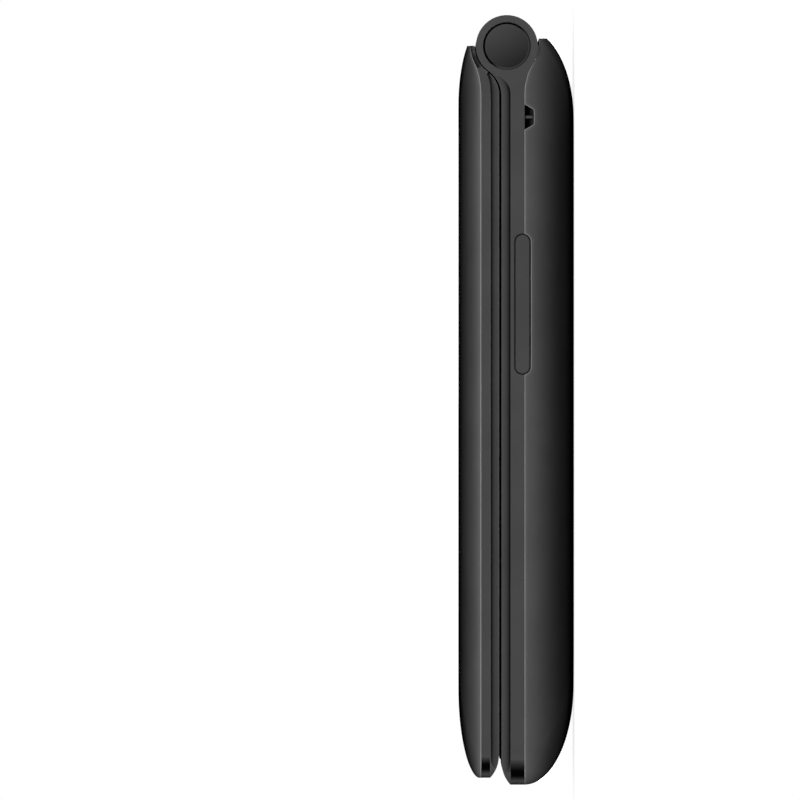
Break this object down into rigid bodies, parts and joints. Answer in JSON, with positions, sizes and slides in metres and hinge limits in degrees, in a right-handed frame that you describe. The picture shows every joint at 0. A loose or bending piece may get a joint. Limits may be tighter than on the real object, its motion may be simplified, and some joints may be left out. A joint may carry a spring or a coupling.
{
  "type": "flip phone",
  "caption": "Closed clamshell mobile phone of black plastic, with a barrel hinge, keypad, navigation ring, volume rocker, lanyard notch, outer display and removable rear cover.",
  "frame": {"origin": "centre of the closed phone's footprint, on the plane that its back rests on", "axes": "+X across the phone to its user's right side, +Y along it from the microphone end to the hinge, +Z out of the lid"},
  "size_m": [0.0582, 0.1154, 0.0174],
  "materials": {
    "cover_plastic": "fine-textured black ABS, the outer shells",
    "band_plastic": "satin black ABS, frames, inner faces and hinge caps",
    "key_plastic": "satin black keycaps with pale numbers",
    "nav_metal": "dark satin anodised ring",
    "silicone": "soft silicone rubber",
    "bumper_rubber": "small black rubber bumpers",
    "spring_steel": "bright spring steel",
    "tinned_steel": "tin-plated steel sheet",
    "screw_steel": "blackened steel screws",
    "mesh_steel": "black woven acoustic mesh",
    "tungsten_weight": "sintered tungsten weight",
    "circuit_board": "green solder mask over glass fibre",
    "contact_plastic": "black moulded connector body",
    "component_body": "black and metal component housings",
    "antenna_plastic": "pale carrier with copper foil",
    "battery_wrap": "dark grey battery casing, no print",
    "cam_acetal": "self-lubricating acetal",
    "flex_film": "amber polyimide film",
    "window_glass": "dark tinted acrylic window",
    "lens_glass": "dark lens behind clear acrylic",
    "display_panel": "display module, switched off"
  },
  "bodies": {
    "base": {"rear_cover": "cover_plastic", "base_frame": "band_plastic", "keypad_housing": "band_plastic", "keypad_membrane": "silicone", "dome_sheet": "spring_steel", "main_board": "circuit_board", "shield_can": "tinned_steel", "microphone": "component_body", "side_switch": "contact_plastic", "usb_socket": "tinned_steel", "base_screws": "screw_steel", "battery": "battery_wrap", "battery_contacts": "contact_plastic", "sim_holder": "tinned_steel", "loudspeaker": "component_body", "vibration_motor": "tinned_steel", "antenna": "antenna_plastic", "hinge_cap_left": "band_plastic", "hinge_cap_right": "band_plastic", "hinge_shaft": "spring_steel", "pivot_bush": "cam_acetal"},
    "lid": {"lid_frame": "band_plastic", "lid_bezel": "band_plastic", "lid_cover": "cover_plastic", "main_window": "window_glass", "main_display": "display_panel", "earpiece": "component_body", "earpiece_mesh": "mesh_steel", "lid_bumpers": "bumper_rubber", "lid_screws": "screw_steel", "lid_board": "circuit_board", "outer_display": "display_panel", "camera_module": "component_body", "camera_lens": "lens_glass", "outer_window": "window_glass", "hinge_case": "spring_steel", "hinge_cam": "cam_acetal", "hinge_spring": "spring_steel", "hinge_flex": "flex_film"},
    "key_1": {"key_1": "key_plastic"},
    "key_2": {"key_2": "key_plastic"},
    "key_3": {"key_3": "key_plastic"},
    "key_4": {"key_4": "key_plastic"},
    "key_5": {"key_5": "key_plastic"},
    "key_6": {"key_6": "key_plastic"},
    "key_7": {"key_7": "key_plastic"},
    "key_8": {"key_8": "key_plastic"},
    "key_9": {"key_9": "key_plastic"},
    "key_star": {"key_star": "key_plastic"},
    "key_0": {"key_0": "key_plastic"},
    "key_hash": {"key_hash": "key_plastic"},
    "soft_left_key": {"soft_left_key": "key_plastic"},
    "soft_right_key": {"soft_right_key": "key_plastic"},
    "call_key": {"call_key": "key_plastic"},
    "end_key": {"end_key": "key_plastic"},
    "nav_plunger": {"nav_plunger": "silicone"},
    "nav_ring": {"nav_ring": "nav_metal"},
    "ok_key": {"ok_key": "key_plastic"},
    "volume_rocker": {"volume_rocker": "key_plastic"},
    "vibration_weight": {"vibration_weight": "tungsten_weight"}
  },
  "joints": [
    {"name": "flip_hinge", "type": "hinge", "parent": "base", "child": "lid", "pos_m": [0, 0.05307, 0.01016], "axis": [-1, 0, 0], "range_deg": [0, 160]},
    {"name": "press_key_1", "type": "slide", "parent": "base", "child": "key_1", "axis": [0, 0, -1], "range_m": [0, 0.00035], "stiffness_N_per_m": 2000},
    {"name": "press_key_2", "type": "slide", "parent": "base", "child": "key_2", "axis": [0, 0, -1], "range_m": [0, 0.00035], "stiffness_N_per_m": 2000},
    {"name": "press_key_3", "type": "slide", "parent": "base", "child": "key_3", "axis": [0, 0, -1], "range_m": [0, 0.00035], "stiffness_N_per_m": 2000},
    {"name": "press_key_4", "type": "slide", "parent": "base", "child": "key_4", "axis": [0, 0, -1], "range_m": [0, 0.00035], "stiffness_N_per_m": 2000},
    {"name": "press_key_5", "type": "slide", "parent": "base", "child": "key_5", "axis": [0, 0, -1], "range_m": [0, 0.00035], "stiffness_N_per_m": 2000},
    {"name": "press_key_6", "type": "slide", "parent": "base", "child": "key_6", "axis": [0, 0, -1], "range_m": [0, 0.00035], "stiffness_N_per_m": 2000},
    {"name": "press_key_7", "type": "slide", "parent": "base", "child": "key_7", "axis": [0, 0, -1], "range_m": [0, 0.00035], "stiffness_N_per_m": 2000},
    {"name": "press_key_8", "type": "slide", "parent": "base", "child": "key_8", "axis": [0, 0, -1], "range_m": [0, 0.00035], "stiffness_N_per_m": 2000},
    {"name": "press_key_9", "type": "slide", "parent": "base", "child": "key_9", "axis": [0, 0, -1], "range_m": [0, 0.00035], "stiffness_N_per_m": 2000},
    {"name": "press_key_star", "type": "slide", "parent": "base", "child": "key_star", "axis": [0, 0, -1], "range_m": [0, 0.00035], "stiffness_N_per_m": 2000},
    {"name": "press_key_0", "type": "slide", "parent": "base", "child": "key_0", "axis": [0, 0, -1], "range_m": [0, 0.00035], "stiffness_N_per_m": 2000},
    {"name": "press_key_hash", "type": "slide", "parent": "base", "child": "key_hash", "axis": [0, 0, -1], "range_m": [0, 0.00035], "stiffness_N_per_m": 2000},
    {"name": "press_soft_left_key", "type": "slide", "parent": "base", "child": "soft_left_key", "axis": [0, 0, -1], "range_m": [0, 0.00035], "stiffness_N_per_m": 2000},
    {"name": "press_soft_right_key", "type": "slide", "parent": "base", "child": "soft_right_key", "axis": [0, 0, -1], "range_m": [0, 0.00035], "stiffness_N_per_m": 2000},
    {"name": "press_call_key", "type": "slide", "parent": "base", "child": "call_key", "axis": [0, 0, -1], "range_m": [0, 0.00035], "stiffness_N_per_m": 2000},
    {"name": "press_end_key", "type": "slide", "parent": "base", "child": "end_key", "axis": [0, 0, -1], "range_m": [0, 0.00035], "stiffness_N_per_m": 2000},
    {"name": "press_ok_key", "type": "slide", "parent": "base", "child": "ok_key", "axis": [0, 0, -1], "range_m": [0, 0.0003], "stiffness_N_per_m": 2000},
    {"name": "rock_nav_lengthways", "type": "hinge", "parent": "base", "child": "nav_plunger", "pos_m": [0, 0.02278, 0.0084], "axis": [1, 0, 0], "range_deg": [-1.1, 1.1], "stiffness_Nm_per_rad": 0.2},
    {"name": "rock_nav_sideways", "type": "hinge", "parent": "nav_plunger", "child": "nav_ring", "pos_m": [0, 0.02278, 0.0084], "axis": [0, 1, 0], "range_deg": [-1.1, 1.1], "stiffness_Nm_per_rad": 0.2},
    {"name": "rock_volume", "type": "hinge", "parent": "base", "child": "volume_rocker", "pos_m": [0.0268, 0.01438, 0.0078], "axis": [0, 0, 1], "range_deg": [-1.5, 1.5], "stiffness_Nm_per_rad": 0.15},
    {"name": "spin_vibration_weight", "type": "hinge", "parent": "base", "child": "vibration_weight", "pos_m": [0.015, -0.02693, 0.0043], "axis": [0, 1, 0], "continuous": true}
  ]
}
